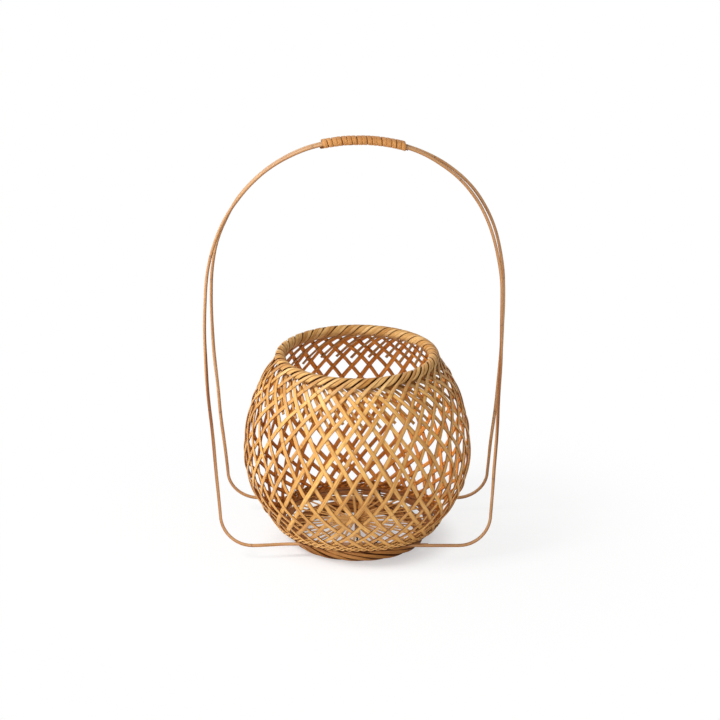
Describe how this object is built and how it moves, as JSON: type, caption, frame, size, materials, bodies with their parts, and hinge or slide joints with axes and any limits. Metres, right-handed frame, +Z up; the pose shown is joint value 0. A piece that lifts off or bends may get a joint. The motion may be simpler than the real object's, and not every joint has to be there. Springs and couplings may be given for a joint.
{
  "type": "ikebana flower basket",
  "caption": "Round open-weave bamboo flower basket on a foot ring, with a twisted rope rim and a tall arched handle of bent rods bound together at the top.",
  "frame": {"origin": "middle of the foot ring's underside, on the surface the basket stands on", "axes": "+Z up; +X along the handle's width, to the right in the picture; +Y away from the front bar of the handle"},
  "size_m": [0.2288, 0.172, 0.3226],
  "materials": {
    "bamboo_strip": "satin golden-tan split bamboo",
    "bamboo_floor": "satin orange-brown split bamboo",
    "bamboo_rope": "satin twisted bamboo strips",
    "bamboo_rod": "polished split-bamboo rod",
    "rattan": "satin orange-tan rattan strip",
    "dark_wire": "dark annealed wire"
  },
  "bodies": {
    "root": {"foot_ring": "bamboo_rope", "floor_strip_1": "bamboo_floor", "floor_strip_2": "bamboo_floor", "floor_strip_3": "bamboo_floor", "floor_strip_4": "bamboo_floor", "floor_strip_5": "bamboo_floor", "floor_strip_6": "bamboo_floor", "floor_strip_7": "bamboo_floor", "floor_strip_8": "bamboo_floor", "floor_strip_9": "bamboo_floor", "wall_strip_01": "bamboo_strip", "wall_strip_02": "bamboo_strip", "wall_strip_03": "bamboo_strip", "wall_strip_04": "bamboo_strip", "wall_strip_05": "bamboo_strip", "wall_strip_06": "bamboo_strip", "wall_strip_07": "bamboo_strip", "wall_strip_08": "bamboo_strip", "wall_strip_09": "bamboo_strip", "wall_strip_10": "bamboo_strip", "wall_strip_11": "bamboo_strip", "wall_strip_12": "bamboo_strip", "wall_strip_13": "bamboo_strip", "wall_strip_14": "bamboo_strip", "wall_strip_15": "bamboo_strip", "wall_strip_16": "bamboo_strip", "wall_strip_17": "bamboo_strip", "wall_strip_18": "bamboo_strip", "wall_strip_19": "bamboo_strip", "wall_strip_20": "bamboo_strip", "wall_strip_21": "bamboo_strip", "wall_strip_22": "bamboo_strip", "wall_strip_23": "bamboo_strip", "wall_strip_24": "bamboo_strip", "wall_strip_25": "bamboo_strip", "wall_strip_26": "bamboo_strip", "wall_strip_27": "bamboo_strip", "wall_strip_28": "bamboo_strip", "wall_strip_29": "bamboo_strip", "wall_strip_30": "bamboo_strip", "wall_strip_31": "bamboo_strip", "wall_strip_32": "bamboo_strip", "wall_strip_33": "bamboo_strip", "wall_strip_34": "bamboo_strip", "wall_strip_35": "bamboo_strip", "wall_strip_36": "bamboo_strip", "rim_rope": "bamboo_rope", "handle_loop_front": "bamboo_rod", "handle_loop_rear": "bamboo_rod", "grip_binding": "rattan", "tie_front_1": "dark_wire", "tie_front_2": "dark_wire", "tie_rear_1": "dark_wire", "tie_rear_2": "dark_wire"}
  },
  "joints": []
}
